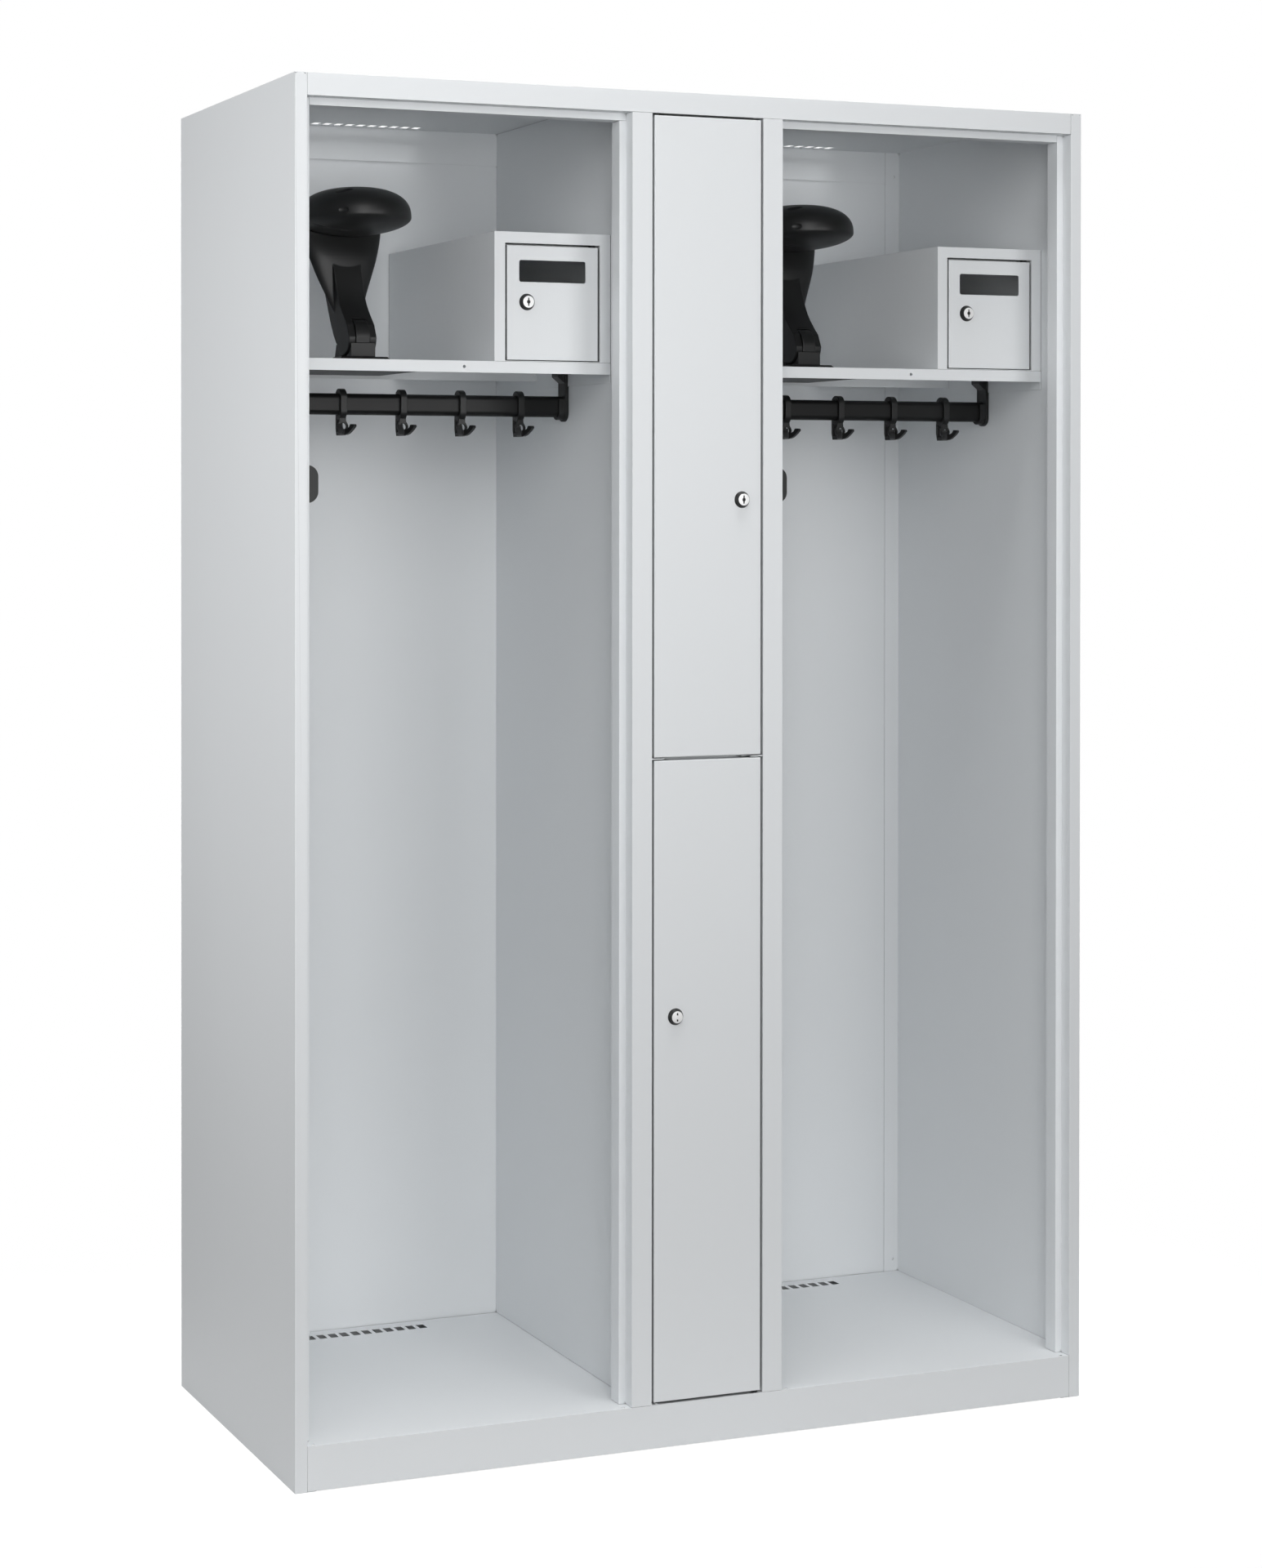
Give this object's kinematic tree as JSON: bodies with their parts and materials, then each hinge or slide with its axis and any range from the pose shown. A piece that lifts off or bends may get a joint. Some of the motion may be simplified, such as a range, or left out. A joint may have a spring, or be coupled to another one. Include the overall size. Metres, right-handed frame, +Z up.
{
  "type": "firefighter gear locker",
  "caption": "Open gear locker in folded sheet steel with hat shelves, small lockable boxes, folding helmet holders, clothes rails with sliding hooks and narrow middle doors.",
  "frame": {"origin": "middle of the footprint, on the floor under the cabinet", "axes": "+Z up, the open front faces -Y, +X to the right as seen from the front"},
  "size_m": [1.2, 0.507, 1.85],
  "materials": {
    "powder_coat": "light grey powder coat",
    "black_plastic": "satin black",
    "black_tube": "satin black coat",
    "bright_steel": "bright plated",
    "zinc_steel": "zinc plated"
  },
  "bodies": {
    "cabinet": {"left_side_panel": "powder_coat", "right_side_panel": "powder_coat", "left_partition": "powder_coat", "right_partition": "powder_coat", "roof_panel": "powder_coat", "floor_panel": "powder_coat", "back_panel": "powder_coat", "divider_shelf": "powder_coat", "upper_door_top_pivot": "black_plastic", "upper_door_bottom_pivot": "zinc_steel", "lower_door_top_pivot": "zinc_steel", "lower_door_bottom_pivot": "black_plastic", "left_hat_shelf": "powder_coat", "left_value_box": "powder_coat", "left_box_top_pivot": "black_plastic", "left_box_bottom_pivot": "black_plastic", "left_clothes_rail": "black_tube", "left_rail_bracket_left": "black_plastic", "left_rail_bracket_right": "black_plastic", "left_side_hook": "black_plastic", "left_helmet_foot": "black_plastic", "right_hat_shelf": "powder_coat", "right_value_box": "powder_coat", "right_box_top_pivot": "black_plastic", "right_box_bottom_pivot": "black_plastic", "right_clothes_rail": "black_tube", "right_rail_bracket_left": "black_plastic", "right_rail_bracket_right": "black_plastic", "right_side_hook": "black_plastic", "right_helmet_foot": "black_plastic"},
    "upper_door": {"upper_door": "powder_coat", "upper_door_lock_housing": "black_plastic"},
    "upper_door_lock": {"upper_door_lock_plug": "bright_steel", "upper_door_lock_cam": "zinc_steel"},
    "lower_door": {"lower_door": "powder_coat", "lower_door_lock_housing": "black_plastic"},
    "lower_door_lock": {"lower_door_lock_plug": "bright_steel", "lower_door_lock_cam": "zinc_steel"},
    "left_box_door": {"left_box_door": "powder_coat", "left_box_lock_housing": "black_plastic"},
    "left_box_lock": {"left_box_lock_plug": "bright_steel", "left_box_lock_cam": "zinc_steel"},
    "left_helmet_holder": {"left_helmet_arm": "black_plastic", "left_helmet_dome": "black_plastic"},
    "left_sliding_hook_1": {"left_sliding_hook_1": "black_plastic"},
    "left_sliding_hook_2": {"left_sliding_hook_2": "black_plastic"},
    "left_sliding_hook_3": {"left_sliding_hook_3": "black_plastic"},
    "left_sliding_hook_4": {"left_sliding_hook_4": "black_plastic"},
    "left_sliding_hook_5": {"left_sliding_hook_5": "black_plastic"},
    "right_box_door": {"right_box_door": "powder_coat", "right_box_lock_housing": "black_plastic"},
    "right_box_lock": {"right_box_lock_plug": "bright_steel", "right_box_lock_cam": "zinc_steel"},
    "right_helmet_holder": {"right_helmet_arm": "black_plastic", "right_helmet_dome": "black_plastic"},
    "right_sliding_hook_1": {"right_sliding_hook_1": "black_plastic"},
    "right_sliding_hook_2": {"right_sliding_hook_2": "black_plastic"},
    "right_sliding_hook_3": {"right_sliding_hook_3": "black_plastic"},
    "right_sliding_hook_4": {"right_sliding_hook_4": "black_plastic"},
    "right_sliding_hook_5": {"right_sliding_hook_5": "black_plastic"}
  },
  "joints": [
    {"name": "upper_door_hinge", "type": "hinge", "parent": "cabinet", "child": "upper_door", "pos_m": [-0.075, -0.244, 0.9431], "axis": [0, 0, -1], "range_deg": [0, 105]},
    {"name": "upper_door_lock_turn", "type": "hinge", "parent": "upper_door", "child": "upper_door_lock", "pos_m": [0.0519, -0.25, 1.2946], "axis": [0, -1, 0], "range_deg": [0, 90]},
    {"name": "lower_door_hinge", "type": "hinge", "parent": "cabinet", "child": "lower_door", "pos_m": [0.075, -0.244, 0.0634], "axis": [0, 0, 1], "range_deg": [0, 105]},
    {"name": "lower_door_lock_turn", "type": "hinge", "parent": "lower_door", "child": "lower_door_lock", "pos_m": [-0.0494, -0.25, 0.5885], "axis": [0, 1, 0], "range_deg": [0, 90]},
    {"name": "left_box_door_hinge", "type": "hinge", "parent": "cabinet", "child": "left_box_door", "pos_m": [-0.1268, -0.145, 1.4863], "axis": [0, 0, 1], "range_deg": [0, 80]},
    {"name": "left_box_lock_turn", "type": "hinge", "parent": "left_box_door", "child": "left_box_lock", "pos_m": [-0.2274, -0.151, 1.5661], "axis": [0, 1, 0], "range_deg": [0, 90]},
    {"name": "left_helmet_fold", "type": "hinge", "parent": "cabinet", "child": "left_helmet_holder", "pos_m": [-0.428, -0.02, 1.52], "axis": [1, 0, 0], "range_deg": [0, 90]},
    {"name": "left_hook_slide_1", "type": "slide", "parent": "cabinet", "child": "left_sliding_hook_1", "axis": [1, 0, 0], "range_m": [-0.03, 0.03]},
    {"name": "left_hook_slide_2", "type": "slide", "parent": "cabinet", "child": "left_sliding_hook_2", "axis": [1, 0, 0], "range_m": [-0.03, 0.03]},
    {"name": "left_hook_slide_3", "type": "slide", "parent": "cabinet", "child": "left_sliding_hook_3", "axis": [1, 0, 0], "range_m": [-0.03, 0.03]},
    {"name": "left_hook_slide_4", "type": "slide", "parent": "cabinet", "child": "left_sliding_hook_4", "axis": [1, 0, 0], "range_m": [-0.03, 0.03]},
    {"name": "left_hook_slide_5", "type": "slide", "parent": "cabinet", "child": "left_sliding_hook_5", "axis": [1, 0, 0], "range_m": [-0.03, 0.03]},
    {"name": "right_box_door_hinge", "type": "hinge", "parent": "cabinet", "child": "right_box_door", "pos_m": [0.5727, -0.145, 1.4863], "axis": [0, 0, 1], "range_deg": [0, 80]},
    {"name": "right_box_lock_turn", "type": "hinge", "parent": "right_box_door", "child": "right_box_lock", "pos_m": [0.4721, -0.151, 1.5661], "axis": [0, 1, 0], "range_deg": [0, 90]},
    {"name": "right_helmet_fold", "type": "hinge", "parent": "cabinet", "child": "right_helmet_holder", "pos_m": [0.2715, -0.02, 1.52], "axis": [1, 0, 0], "range_deg": [0, 90]},
    {"name": "right_hook_slide_1", "type": "slide", "parent": "cabinet", "child": "right_sliding_hook_1", "axis": [1, 0, 0], "range_m": [-0.03, 0.03]},
    {"name": "right_hook_slide_2", "type": "slide", "parent": "cabinet", "child": "right_sliding_hook_2", "axis": [1, 0, 0], "range_m": [-0.03, 0.03]},
    {"name": "right_hook_slide_3", "type": "slide", "parent": "cabinet", "child": "right_sliding_hook_3", "axis": [1, 0, 0], "range_m": [-0.03, 0.03]},
    {"name": "right_hook_slide_4", "type": "slide", "parent": "cabinet", "child": "right_sliding_hook_4", "axis": [1, 0, 0], "range_m": [-0.03, 0.03]},
    {"name": "right_hook_slide_5", "type": "slide", "parent": "cabinet", "child": "right_sliding_hook_5", "axis": [1, 0, 0], "range_m": [-0.03, 0.03]}
  ]
}
